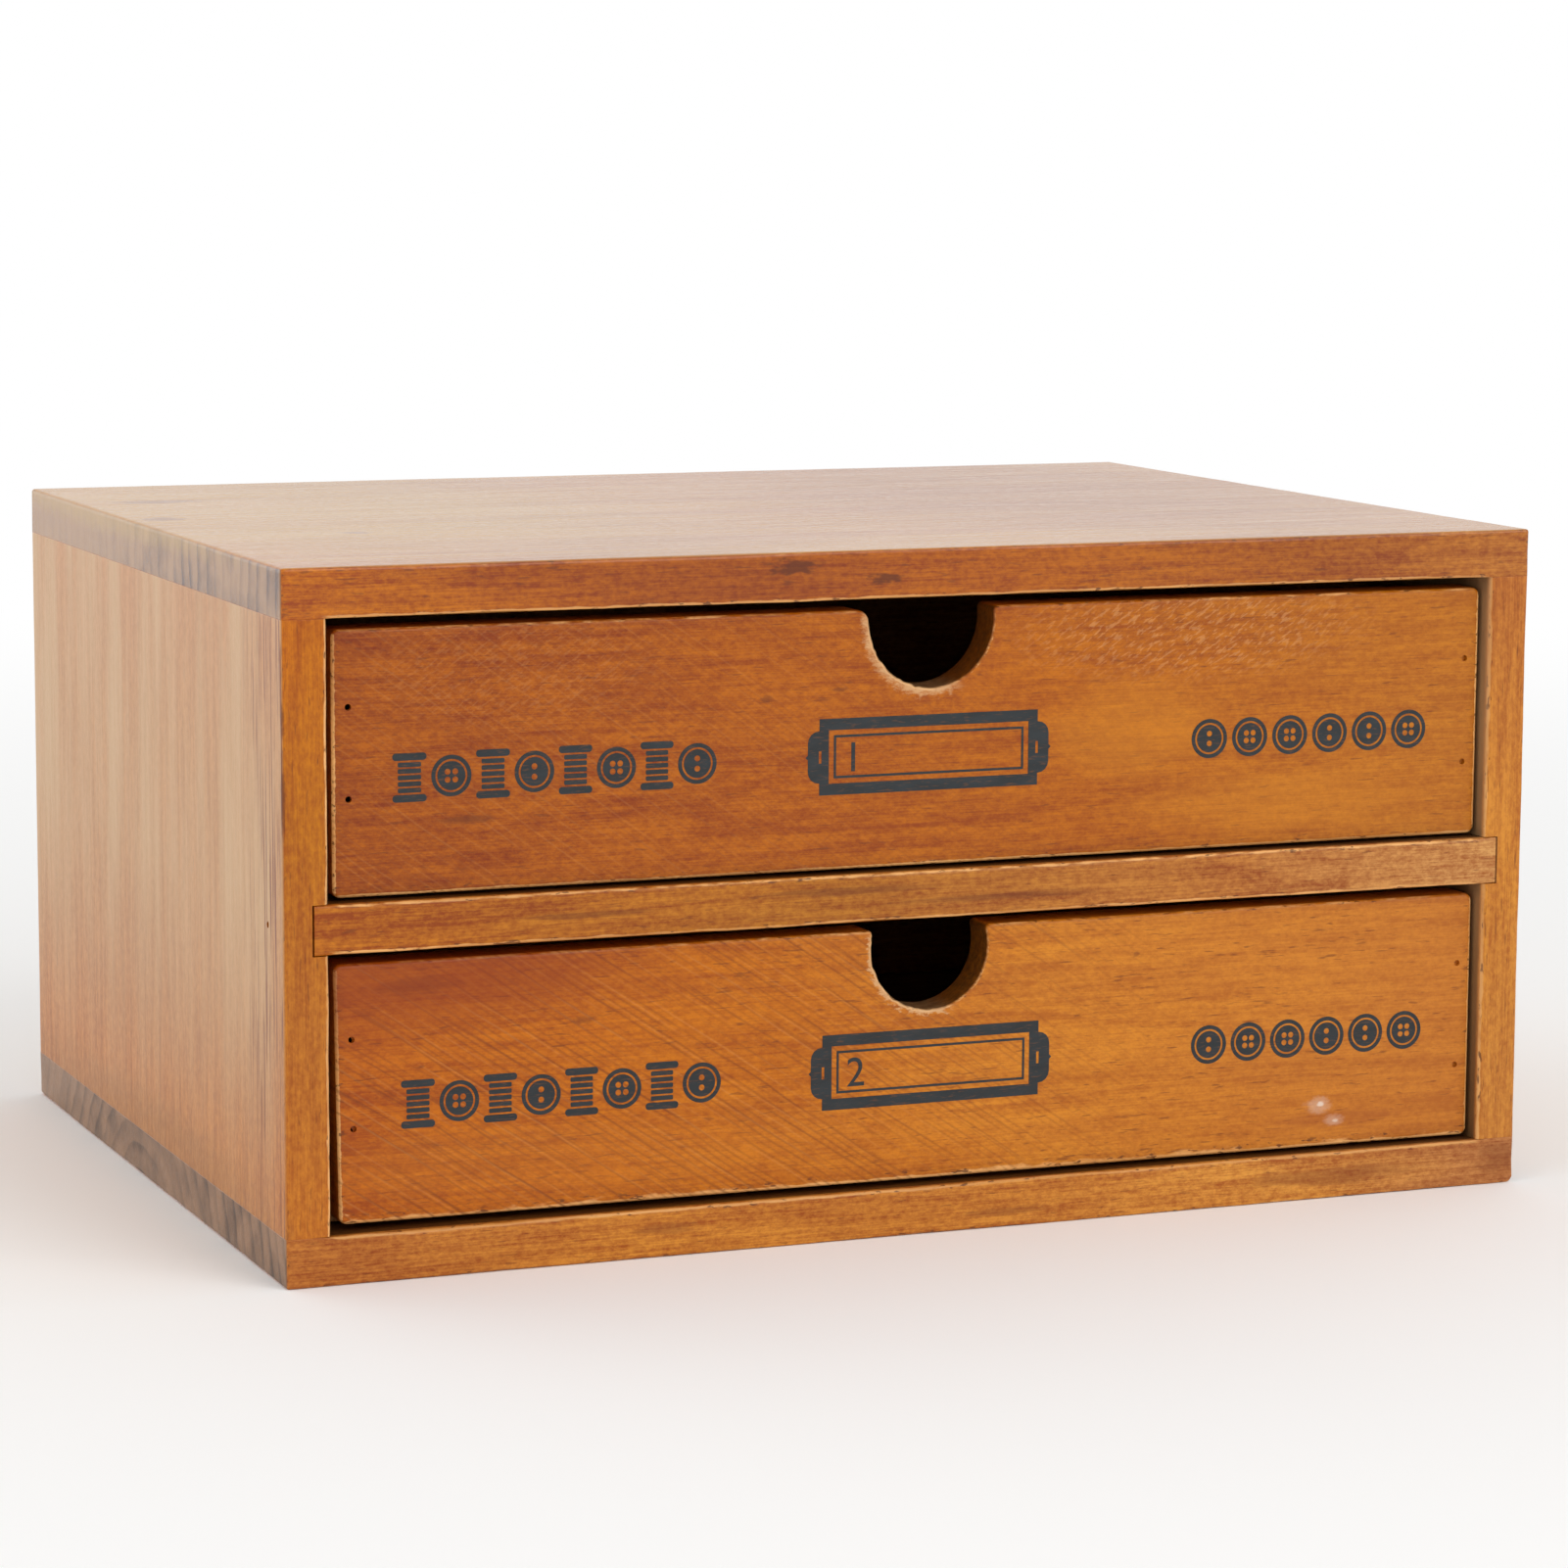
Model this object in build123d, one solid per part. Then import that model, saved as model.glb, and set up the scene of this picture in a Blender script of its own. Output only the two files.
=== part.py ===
from build123d import *
import os

# Small two-drawer chest for buttons and sewing notions, in solid pine with plywood back and floors.
# Millimetres. Origin at the middle of the underside, +Z up, drawers opening towards -Y, +X to the right.

# ---- Cabinet ----
cabinet_width = 330.0
cabinet_depth = 245.0
cabinet_height = 170.0
board_thickness = 12.0  # top and bottom boards, which run over and under the side boards
side_thickness = 11.0
shelf_thickness = 12.0
board_arris_radius = 0.6  # sanded edges of every cabinet board
wall_arris_radius = 0.4  # edges of the drawer sides and backs, only eased

# The shelf ends are housed in slots across the side boards.
dado_depth = 4.0
dado_slack = 0.1  # above and below the shelf
shelf_end_gap = 0.5  # the open seam at each end of the shelf

# ---- Back panel, let into a rabbet round the rear ----
back_thickness = 3.0
back_inset = 1.0  # from the rear edges of the boards to the panel
rabbet_depth = 5.0  # how far the panel reaches into each board
panel_slack = 0.3  # round a panel in its rabbet or groove

# ---- Drawers ----
drawer_recess = 3.5  # drawer faces stand back from the front edges of the cabinet
drawer_side_gap = 2.0
drawer_top_gap = 2.9
drawer_bottom_gap = 0.8
drawer_back_gap = 0.5  # the drawer back stops against the back panel
runner_clearance = 0.3  # under the drawer sides, which slide on the board below
front_thickness = 10.0
front_corner_radius = 2.0
front_arris_radius = 0.9
wall_thickness = 8.0  # drawer sides and drawer back
wall_drop = 3.0  # drawer walls stop this far below the top edge of the front
floor_thickness = 3.0
floor_lift = 5.0  # from the lower edge of the drawer sides to the underside of the floor
groove_depth = 4.0  # grooves for the floor
groove_slack = 0.1  # above and below the floor

# ---- Finger notch in the top edge of each drawer front ----
notch_radius = 16.5
notch_centre_drop = {"upper": 3.0, "lower": 5.0}  # below the top edge
notch_lip_radius = 1.0

# ---- Dowels, nails and pins ----
dowel_radius = 3.0
dowel_length = 24.0
dowel_board_depth = 8.0  # the share of a dowel that is in the top or bottom board
dowel_inset = 26.0  # from the front and rear edges
dowel_count = 3
dowel_hole_spare = 0.5  # hole depth past each end of a dowel
fit_clearance = 0.05  # round every dowel, nail and pin

nail_radius = 0.75
nail_length = 25.0
nail_sink = 1.0  # nail heads are punched below the surface
shelf_nail_inset = 13.0
shelf_nail_count = 3
front_nail_heights = {"left": (23.3, 45.0), "right": (18.7, 45.3)}  # above the lower edge of the front
back_nail_inset = 12.0  # from the upper and lower edges of the drawer back

pin_radius = 0.65
pin_length = 12.0
pin_head_radius = 1.5
pin_head_thickness = 0.6
pin_corner_inset = 24.0
panel_pin_count = 4  # along the top and along the bottom board
shelf_pin_count = 3
floor_pin_count = 3

# ---- Places that follow from the sizes above ----
half_width = cabinet_width / 2
front_y = -cabinet_depth / 2
rear_y = cabinet_depth / 2
ceiling_z = cabinet_height - board_thickness
bay_half_width = half_width - side_thickness
bay_height = (ceiling_z - board_thickness - shelf_thickness) / 2
shelf_z = board_thickness + bay_height
shelf_top_z = shelf_z + shelf_thickness
shelf_middle_z = shelf_z + shelf_thickness / 2

panel_rear_y = rear_y - back_inset
panel_front_y = panel_rear_y - back_thickness
panel_half_width = bay_half_width + rabbet_depth - panel_slack
rabbet_half_width = bay_half_width + rabbet_depth

drawer_half_width = bay_half_width - drawer_side_gap
drawer_front_y = front_y + drawer_recess
drawer_wall_y = drawer_front_y + front_thickness
drawer_rear_y = panel_front_y - drawer_back_gap
drawer_inner_half_width = drawer_half_width - wall_thickness
bay_floor_z = {"upper": shelf_top_z, "lower": board_thickness}


def span(low, high, count):
    """Evenly spaced places from low to high, both ends included."""
    step = (high - low) / (count - 1)
    return [low + step * index for index in range(count)]


def block(x_low, x_high, y_low, y_high, z_low, z_high):
    """A plain box between two corners."""
    centre = Pos((x_low + x_high) / 2, (y_low + y_high) / 2, (z_low + z_high) / 2)
    return centre * Box(x_high - x_low, y_high - y_low, z_high - z_low)


def board(*corners, arris_radius=board_arris_radius):
    """A box with its edges lightly sanded."""
    plain = block(*corners)
    return fillet(plain.edges(), arris_radius)


def rod(start, direction, length, radius):
    """A round rod that begins at start and runs along direction."""
    return Plane(origin=start, z_dir=direction) * Cylinder(
        radius, length, align=(Align.CENTER, Align.CENTER, Align.MIN)
    )


def bored(piece, places, direction, length, radius):
    """The piece with a hole of one size cut from each place along direction."""
    for place in places:
        piece = piece - rod(place, direction, length, radius)
    return piece


def headed_pin(place, direction):
    """A small pin whose flat head bears on the surface that place lies on."""
    outward = tuple(-part for part in direction)
    return rod(place, direction, pin_length, pin_radius) + rod(
        place, outward, pin_head_thickness, pin_head_radius
    )


# ---- Places of the fasteners ----
dowel_x = half_width - side_thickness / 2
dowel_ys = span(front_y + dowel_inset, rear_y - dowel_inset, dowel_count)
shelf_nail_ys = span(front_y + shelf_nail_inset, rear_y - shelf_nail_inset, shelf_nail_count)
panel_pin_xs = span(pin_corner_inset - panel_half_width, panel_half_width - pin_corner_inset, panel_pin_count)
shelf_pin_xs = span(pin_corner_inset - panel_half_width, panel_half_width - pin_corner_inset, shelf_pin_count)
panel_pin_side_x = bay_half_width + rabbet_depth / 2
bay_middle_zs = [board_thickness + bay_height / 2, shelf_top_z + bay_height / 2]


def dowel_places(side, joint_z, into_side):
    """Lower ends of the dowels of one joint; into_side is +1 where the side board lies above."""
    low_end = joint_z - (dowel_board_depth if into_side > 0 else dowel_length - dowel_board_depth)
    return [(side * dowel_x, y, low_end) for y in dowel_ys]


def dowel_bored(piece, places):
    """The piece with dowel holes a little longer and wider than the dowels."""
    lowered = [(x, y, z - dowel_hole_spare) for x, y, z in places]
    hole_length = dowel_length + 2 * dowel_hole_spare
    return bored(piece, lowered, (0, 0, 1), hole_length, dowel_radius + fit_clearance)


def shelf_nail_places(side):
    """Heads of the nails that go through one side board into the shelf."""
    return [(side * (half_width - nail_sink), y, shelf_middle_z) for y in shelf_nail_ys]


def panel_pin_places(where):
    """Heads of the pins of the back panel, on its rear face."""
    if where == "top":
        return [(x, panel_rear_y, ceiling_z + rabbet_depth / 2) for x in panel_pin_xs]
    if where == "bottom":
        return [(x, panel_rear_y, board_thickness - rabbet_depth / 2) for x in panel_pin_xs]
    if where == "shelf":
        return [(x, panel_rear_y, shelf_middle_z) for x in shelf_pin_xs]
    side = -1 if where == "left" else 1
    return [(side * panel_pin_side_x, panel_rear_y, z) for z in bay_middle_zs]


def nail_bored(piece, places, direction):
    """The piece with holes for sunk nails, opened out to the surface in front of the heads."""
    opened = [tuple(p - 2 * nail_sink * d for p, d in zip(place, direction)) for place in places]
    return bored(piece, opened, direction, nail_length + 2 * nail_sink, nail_radius + fit_clearance)


def pin_bored(piece, places, direction):
    """The piece with holes for headed pins."""
    return bored(piece, places, direction, pin_length, pin_radius + fit_clearance)


# ---- Cabinet pieces ----
def make_top_board():
    top = board(-half_width, half_width, front_y, rear_y, ceiling_z, cabinet_height)
    top -= block(
        -rabbet_half_width, rabbet_half_width, panel_front_y, rear_y + 1, ceiling_z - 1, ceiling_z + rabbet_depth
    )
    for side in (-1, 1):
        top = dowel_bored(top, dowel_places(side, ceiling_z, -1))
    return pin_bored(top, panel_pin_places("top"), (0, -1, 0))


def make_bottom_board():
    bottom = board(-half_width, half_width, front_y, rear_y, 0, board_thickness)
    bottom -= block(
        -rabbet_half_width,
        rabbet_half_width,
        panel_front_y,
        rear_y + 1,
        board_thickness - rabbet_depth,
        board_thickness + 1,
    )
    for side in (-1, 1):
        bottom = dowel_bored(bottom, dowel_places(side, board_thickness, 1))
    return pin_bored(bottom, panel_pin_places("bottom"), (0, -1, 0))


def make_side_board(name):
    """One side board, with its housing for the shelf and its rabbet for the back panel."""
    side = -1 if name == "left" else 1
    outer_x = side * half_width
    inner_x = side * bay_half_width
    past_inner_x = inner_x - side
    upright = board(
        min(outer_x, inner_x), max(outer_x, inner_x), front_y, rear_y, board_thickness, ceiling_z
    )
    dado_x = inner_x + side * dado_depth
    upright -= block(
        min(dado_x, past_inner_x),
        max(dado_x, past_inner_x),
        front_y - 1,
        panel_front_y,
        shelf_z - dado_slack,
        shelf_top_z + dado_slack,
    )
    rabbet_x = side * rabbet_half_width
    upright -= block(
        min(rabbet_x, past_inner_x),
        max(rabbet_x, past_inner_x),
        panel_front_y,
        rear_y + 1,
        board_thickness - 1,
        ceiling_z + 1,
    )
    upright = dowel_bored(upright, dowel_places(side, board_thickness, 1))
    upright = dowel_bored(upright, dowel_places(side, ceiling_z, -1))
    upright = nail_bored(upright, shelf_nail_places(side), (-side, 0, 0))
    return pin_bored(upright, panel_pin_places(name), (0, -1, 0))


def make_middle_shelf():
    shelf_half_width = bay_half_width + dado_depth - shelf_end_gap
    shelf = board(-shelf_half_width, shelf_half_width, front_y, panel_front_y, shelf_z, shelf_top_z)
    for side in (-1, 1):
        shelf = nail_bored(shelf, shelf_nail_places(side), (-side, 0, 0))
    return pin_bored(shelf, panel_pin_places("shelf"), (0, -1, 0))


def make_back_panel():
    panel = block(
        -panel_half_width,
        panel_half_width,
        panel_front_y,
        panel_rear_y,
        board_thickness - rabbet_depth + panel_slack,
        ceiling_z + rabbet_depth - panel_slack,
    )
    for where in ("top", "bottom", "left", "right", "shelf"):
        panel = pin_bored(panel, panel_pin_places(where), (0, -1, 0))
    return panel


def make_corner_dowels():
    places = []
    for side in (-1, 1):
        places += dowel_places(side, board_thickness, 1)
        places += dowel_places(side, ceiling_z, -1)
    return [rod(place, (0, 0, 1), dowel_length, dowel_radius) for place in places]


def make_shelf_nails():
    nails = []
    for side in (-1, 1):
        nails += [rod(place, (-side, 0, 0), nail_length, nail_radius) for place in shelf_nail_places(side)]
    return nails


def make_back_panel_pins():
    pins = []
    for where in ("top", "bottom", "left", "right", "shelf"):
        pins += [headed_pin(place, (0, -1, 0)) for place in panel_pin_places(where)]
    return pins


# ---- Drawer pieces ----
class DrawerLevels:
    """Heights of one drawer, counted up from the board that it slides on."""

    def __init__(self, name):
        floor_of_bay = bay_floor_z[name]
        self.front_low = floor_of_bay + drawer_bottom_gap
        self.front_high = floor_of_bay + bay_height - drawer_top_gap
        self.wall_low = floor_of_bay + runner_clearance
        self.wall_high = self.front_high - wall_drop
        self.floor_low = self.wall_low + floor_lift
        self.floor_high = self.floor_low + floor_thickness
        self.notch_z = self.front_high - notch_centre_drop[name]


def front_nail_places(level, side_name):
    side = -1 if side_name == "left" else 1
    x = side * (drawer_half_width - wall_thickness / 2)
    return [(x, drawer_front_y + nail_sink, level.front_low + height) for height in front_nail_heights[side_name]]


def back_nail_places(level, side):
    y = drawer_rear_y - wall_thickness / 2
    heights = (level.floor_high + back_nail_inset, level.wall_high - back_nail_inset)
    return [(side * (drawer_half_width - nail_sink), y, z) for z in heights]


def floor_pin_places(level):
    reach = drawer_inner_half_width - pin_corner_inset
    y = drawer_rear_y - wall_thickness / 2
    return [(x, y, level.floor_low) for x in span(-reach, reach, floor_pin_count)]


def floor_groove(level):
    """The space that the drawer floor slides into, cut from the front and the sides."""
    reach = drawer_inner_half_width + groove_depth
    return block(
        -reach,
        reach,
        drawer_wall_y - groove_depth,
        drawer_rear_y + 1,
        level.floor_low - groove_slack,
        level.floor_high + groove_slack,
    )


def make_drawer_front(level):
    """A board with round corners, a half-round finger notch and softened edges on its face."""
    width = 2 * drawer_half_width
    height = level.front_high - level.front_low
    face_plane = Plane(origin=(0, drawer_front_y, 0), x_dir=(1, 0, 0), z_dir=(0, -1, 0))
    outline = Pos(0, (level.front_low + level.front_high) / 2) * Rectangle(width, height)
    outline = fillet(outline.vertices(), front_corner_radius)
    outline -= Pos(0, level.notch_z) * Circle(notch_radius)
    lip_corners = [
        corner
        for corner in outline.vertices()
        if abs(corner.Y - level.front_high) < 0.01 and abs(corner.X) < notch_radius + 0.01
    ]
    outline = fillet(lip_corners, notch_lip_radius)
    front = extrude(face_plane * outline, amount=-front_thickness)
    face_edges = front.faces().sort_by(Axis.Y)[0].edges()
    front = fillet(face_edges, front_arris_radius)
    front -= floor_groove(level)
    for side_name in ("left", "right"):
        front = nail_bored(front, front_nail_places(level, side_name), (0, 1, 0))
    return front


def make_drawer_side(level, side_name):
    side = -1 if side_name == "left" else 1
    outer_x = side * drawer_half_width
    inner_x = side * drawer_inner_half_width
    wall = board(
        min(outer_x, inner_x),
        max(outer_x, inner_x),
        drawer_wall_y,
        drawer_rear_y,
        level.wall_low,
        level.wall_high,
        arris_radius=wall_arris_radius,
    )
    wall -= floor_groove(level)
    wall = nail_bored(wall, front_nail_places(level, side_name), (0, 1, 0))
    return nail_bored(wall, back_nail_places(level, side), (-side, 0, 0))


def make_drawer_back(level):
    back = board(
        -drawer_inner_half_width,
        drawer_inner_half_width,
        drawer_rear_y - wall_thickness,
        drawer_rear_y,
        level.floor_high,
        level.wall_high,
        arris_radius=wall_arris_radius,
    )
    for side in (-1, 1):
        back = nail_bored(back, back_nail_places(level, side), (-side, 0, 0))
    return pin_bored(back, floor_pin_places(level), (0, 0, 1))


def make_drawer_floor(level):
    reach = drawer_inner_half_width + groove_depth - panel_slack
    floor = block(
        -reach,
        reach,
        drawer_wall_y - groove_depth + panel_slack,
        drawer_rear_y,
        level.floor_low,
        level.floor_high,
    )
    return pin_bored(floor, floor_pin_places(level), (0, 0, 1))


def make_front_nails(level):
    nails = []
    for side_name in ("left", "right"):
        places = front_nail_places(level, side_name)
        nails += [rod(place, (0, 1, 0), nail_length, nail_radius) for place in places]
    return nails


def make_back_nails(level):
    nails = []
    for side in (-1, 1):
        places = back_nail_places(level, side)
        nails += [rod(place, (-side, 0, 0), nail_length, nail_radius) for place in places]
    return nails


def make_floor_pins(level):
    return [headed_pin(place, (0, 0, 1)) for place in floor_pin_places(level)]


def make_drawer(name):
    """Every piece of one drawer, by node name."""
    level = DrawerLevels(name)
    return {
        f"{name}_drawer_front": make_drawer_front(level),
        f"{name}_drawer_left_side": make_drawer_side(level, "left"),
        f"{name}_drawer_right_side": make_drawer_side(level, "right"),
        f"{name}_drawer_back": make_drawer_back(level),
        f"{name}_drawer_floor": make_drawer_floor(level),
        f"{name}_drawer_front_nails": make_front_nails(level),
        f"{name}_drawer_back_nails": make_back_nails(level),
        f"{name}_drawer_floor_pins": make_floor_pins(level),
    }


def make_cabinet():
    """Every piece of the fixed cabinet, by node name."""
    return {
        "top_board": make_top_board(),
        "bottom_board": make_bottom_board(),
        "left_side_board": make_side_board("left"),
        "right_side_board": make_side_board("right"),
        "middle_shelf": make_middle_shelf(),
        "back_panel": make_back_panel(),
        "corner_dowels": make_corner_dowels(),
        "shelf_nails": make_shelf_nails(),
        "back_panel_pins": make_back_panel_pins(),
    }


def write(nodes):
    """One STEP file per node; a list of like pieces becomes one group of separate solids."""
    os.makedirs("parts", exist_ok=True)
    for name, shape in nodes.items():
        if isinstance(shape, list):
            shape = Compound(children=shape)
        export_step(shape, f"parts/{name}.step")


write(make_cabinet() | make_drawer("upper") | make_drawer("lower"))
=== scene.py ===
# %% [markdown]
# # A small chest with two button drawers, in stained and worn pine
# The frame is the construction model: every board, nail and dowel at its real size and place.
# This lesson gives it its looks. The boards that show are modelled again by hand, because a sanded,
# knocked-about edge is what tells the eye "old pine box". The pieces that hide inside keep their
# shape and get a proper finish. Lengths are in metres, and mm = 0.001 keeps the numbers readable.

# %% Load the frame
import math

import bmesh
import bpy
from mathutils import Matrix, Vector, noise


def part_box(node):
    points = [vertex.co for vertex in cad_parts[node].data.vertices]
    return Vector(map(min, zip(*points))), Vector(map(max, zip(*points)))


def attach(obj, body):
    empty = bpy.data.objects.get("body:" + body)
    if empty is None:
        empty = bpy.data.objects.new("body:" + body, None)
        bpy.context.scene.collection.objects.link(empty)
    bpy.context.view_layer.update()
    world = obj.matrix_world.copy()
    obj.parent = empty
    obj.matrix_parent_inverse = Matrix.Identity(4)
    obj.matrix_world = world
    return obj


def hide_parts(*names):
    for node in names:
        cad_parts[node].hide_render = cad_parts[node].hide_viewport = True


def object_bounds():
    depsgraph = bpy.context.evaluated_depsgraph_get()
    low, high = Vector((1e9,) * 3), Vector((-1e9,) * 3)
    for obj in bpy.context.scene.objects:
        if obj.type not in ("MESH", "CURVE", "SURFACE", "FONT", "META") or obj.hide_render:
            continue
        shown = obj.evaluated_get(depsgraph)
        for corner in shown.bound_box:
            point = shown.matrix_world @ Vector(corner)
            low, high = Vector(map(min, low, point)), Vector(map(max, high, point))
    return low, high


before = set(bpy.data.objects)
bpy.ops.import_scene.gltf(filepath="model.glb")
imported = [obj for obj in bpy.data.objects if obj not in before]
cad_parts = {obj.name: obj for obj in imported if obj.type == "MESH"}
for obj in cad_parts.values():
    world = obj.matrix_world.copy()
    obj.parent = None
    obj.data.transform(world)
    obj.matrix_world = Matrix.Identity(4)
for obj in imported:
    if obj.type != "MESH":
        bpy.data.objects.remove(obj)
cad_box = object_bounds()
mm = 0.001
chest_low, chest_high = (Vector(corner) for corner in cad_box)
print("chest", [round(size / mm, 1) for size in chest_high - chest_low], "mm")

# %% [markdown]
# ## The camera
# The picture was taken with a long lens, from the left and a little above. The camera's place was
# worked out from the corners of the chest, which is far more exact than turning it by eye. A long
# lens keeps the two drawers almost parallel, so the lens is part of the likeness.

# %% Place the camera
camera_place = Vector((-477.3, -1199.8, 277.2)) * mm
camera_target = Vector((-39.8, -122.5, 114.1)) * mm
camera_roll = math.radians(0.32)

camera_data = bpy.data.cameras.new("camera")
camera_data.lens = 111.9
camera_data.sensor_width = 36
camera_data.clip_start = 0.05
camera = bpy.data.objects.new("camera", camera_data)
bpy.context.collection.objects.link(camera)
aim = (camera_target - camera_place).to_track_quat("-Z", "Y").to_matrix()
aim = aim @ Matrix.Rotation(camera_roll, 3, "Z")
camera.matrix_world = Matrix.Translation(camera_place) @ aim.to_4x4()
bpy.context.scene.camera = camera
print("camera stands", round((camera_target - camera_place).length, 3), "m from the drawer fronts")

# %% [markdown]
# ## Nodes and colours
# Every finish below is a small tree of shader nodes. One helper adds a node, sets it up and joins
# its inputs, so that a material reads like a list of steps. Colours are written as the sRGB hex
# values that a paint chart would give, and one function turns them to linear light.


# %% Helpers for materials
def srgb(code):
    """A hex colour such as #b5672c as linear red, green and blue, with alpha 1."""
    parts = [int(code[start:start + 2], 16) / 255 for start in (1, 3, 5)]
    return tuple(p / 12.92 if p <= 0.04045 else ((p + 0.055) / 1.055) ** 2.4 for p in parts) + (1,)


def add(tree, kind, *values, named=None, out=0, stops=None, **settings):
    """Adds a node and gives one of its outputs. kind may end in its operation, as in Math.ADD.

    values fill the inputs in order, and named fills them by name, with numbers, colours or other
    nodes' outputs. stops are a colour ramp's points: a place, and a hex colour or a grey level."""
    kind, _, operation = kind.partition(".")
    made = tree.nodes.new("ShaderNode" + kind)
    if operation:
        made.operation = operation
    for name, value in settings.items():
        setattr(made, name, value)
    for name, value in [*enumerate(values), *(named or {}).items()]:
        if isinstance(value, bpy.types.NodeSocket):
            tree.links.new(value, made.inputs[name])
        else:
            made.inputs[name].default_value = value
    if stops:
        points = made.color_ramp.elements
        points.remove(points[1])
        for index, (place, colour) in enumerate(stops.items()):
            point = points.new(place) if index else points[0]
            point.position = place
            point.color = srgb(colour) if isinstance(colour, str) else (colour, colour, colour, 1)
    return made.outputs[out] if made.outputs else made


def new_finish(name):
    """A new material, with its node tree and its shader."""
    material = bpy.data.materials.new(name)
    material.use_nodes = True
    tree = material.node_tree
    return material, tree, tree.nodes["Principled BSDF"]


# %% [markdown]
# ## Stage and light
# A plain pale floor and a white room. The room is also what the wax shows at a low angle: on the
# top and the left side the eye sees half wood and half white wall. One wide lamp in front lights
# the drawers, a low one fills the left side, and one behind gives that side its pale sheen.
# Together they are kept to a level at which a colour renders about as it is written.

# %% Floor and room
room_level = 0.78
floor_fade = (0.4, 1.4)


def seen_directly(tree):
    """1 for what the eye sees, straight, in gloss or through glass, and 0 for lighting."""
    rays = add(tree, "LightPath").node.outputs
    seen = add(tree, "Math.MAXIMUM", rays["Is Camera Ray"], rays["Is Glossy Ray"])
    return add(tree, "Math.MAXIMUM", seen, rays["Is Transmission Ray"])


def studio_floor():
    """Matt white floor: real light and shadow near the chest, plain white far away."""
    material, tree, shader = new_finish("matt white studio floor")
    shader.inputs["Base Color"].default_value = srgb("#fcfcfb")
    shader.inputs["Roughness"].default_value = 0.9
    away = add(tree, "VectorMath.LENGTH", add(tree, "TexCoord", out="Object"), out="Value")
    far = add(tree, "MapRange", away, *floor_fade, interpolation_type="SMOOTHSTEP")
    amount = add(tree, "Math.MULTIPLY", far, seen_directly(tree))
    white = add(tree, "Emission", (1, 1, 1, 1), 1)
    blend = add(tree, "MixShader", amount, shader.outputs[0], white)
    tree.links.new(blend, tree.nodes["Material Output"].inputs["Surface"])
    return material


bpy.ops.mesh.primitive_plane_add(size=16)
floor = bpy.context.object
floor.name = "studio_floor"
floor.data.materials.append(studio_floor())

world = bpy.data.worlds.new("white room")
bpy.context.scene.world = world
world.use_nodes = True
room = world.node_tree
room.nodes.clear()
level = add(room, "MapRange", seen_directly(room), 0, 1, room_level, 1)
backdrop = add(room, "Background", (1, 1, 1, 1), level)
add(room, "OutputWorld", backdrop)
bpy.context.scene.view_settings.view_transform = "Standard"
print("floor and room are white")


# %% Three soft lamps
chest_middle = (chest_low + chest_high) / 2
for name, place, size, watts in (
        ("front_softbox", (0.9, -1.9, 1.5), (1.5, 1.5), 17),
        ("left_fill", (-1.8, -0.9, 0.8), (1.2, 1.2), 4),
        ("back_left_softbox", (-1.5, 1.9, 0.55), (1.6, 1), 7)):
    data = bpy.data.lights.new(name, "AREA")
    data.shape = "RECTANGLE"
    data.size, data.size_y = size
    data.energy = watts
    lamp = bpy.data.objects.new(name, data)
    bpy.context.collection.objects.link(lamp)
    lamp.location = place
    lamp.rotation_euler = (chest_middle - Vector(place)).to_track_quat("-Z", "Y").to_euler()
    lamp.visible_camera = False
    print(name, watts, "W")

# %% [markdown]
# ## Working a board
# A board starts as a cube primitive, stretched to its real size in its real place. Its edges are
# rounded like a pass of sandpaper, and it is sliced crosswise every few millimetres, which gives
# the edges points that can be worn down one by one. That is the difference between a machined box
# and one that has stood in a workroom for years. Hollows are cut last with a Boolean, just as a
# router or a drill would cut them.


# %% Board-making helpers
def only(piece):
    """Selects just this object, so that the next operator acts on it alone."""
    bpy.ops.object.select_all(action="DESELECT")
    piece.select_set(True)
    bpy.context.view_layer.objects.active = piece


def edit(piece, kind, action):
    """Opens just this piece in edit mode, with all or nothing selected."""
    only(piece)
    bpy.ops.object.mode_set(mode="EDIT")
    bpy.ops.mesh.select_mode(type=kind)
    bpy.ops.mesh.select_all(action=action)


def start_block(name, low, high):
    """A cube primitive stretched between two corners, with its place in its mesh."""
    bpy.ops.mesh.primitive_cube_add(size=1, location=(Vector(low) + Vector(high)) / 2)
    block = bpy.context.object
    block.name = name
    block.scale = Vector(high) - Vector(low)
    bpy.ops.object.transform_apply()
    return block


def start_rod(name, place, direction, radius, length, sides):
    """A cylinder primitive that begins at place and runs along direction."""
    direction = Vector(direction)
    bpy.ops.mesh.primitive_cylinder_add(vertices=sides, radius=radius, depth=length)
    rod = bpy.context.object
    rod.name = name
    turn = direction.to_track_quat("Z", "Y").to_matrix().to_4x4()
    rod.matrix_world = Matrix.Translation(Vector(place) + direction * length / 2) @ turn
    bpy.ops.object.transform_apply()
    return rod


def cut(piece, cutter, operation="DIFFERENCE"):
    """Takes the cutter's shape out of the piece, or adds it, and throws the cutter away."""
    only(piece)
    modifier = piece.modifiers.new("cut", "BOOLEAN")
    modifier.operation = operation
    modifier.solver = "EXACT"
    modifier.object = cutter
    bpy.ops.object.modifier_apply(modifier=modifier.name)
    bpy.data.objects.remove(cutter)


# %% Edge helpers
def bevel_edges(piece, wanted, width, segments):
    """Rounds the edges that wanted(edge) picks."""
    edit(piece, "EDGE", "DESELECT")
    shape = bmesh.from_edit_mesh(piece.data)
    for edge in [edge for edge in shape.edges if wanted(edge)]:
        edge.select_set(True)
    bmesh.update_edit_mesh(piece.data)
    bpy.ops.mesh.bevel(offset=width, segments=segments, profile=0.5, affect="EDGES")
    bpy.ops.object.mode_set(mode="OBJECT")


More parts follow.
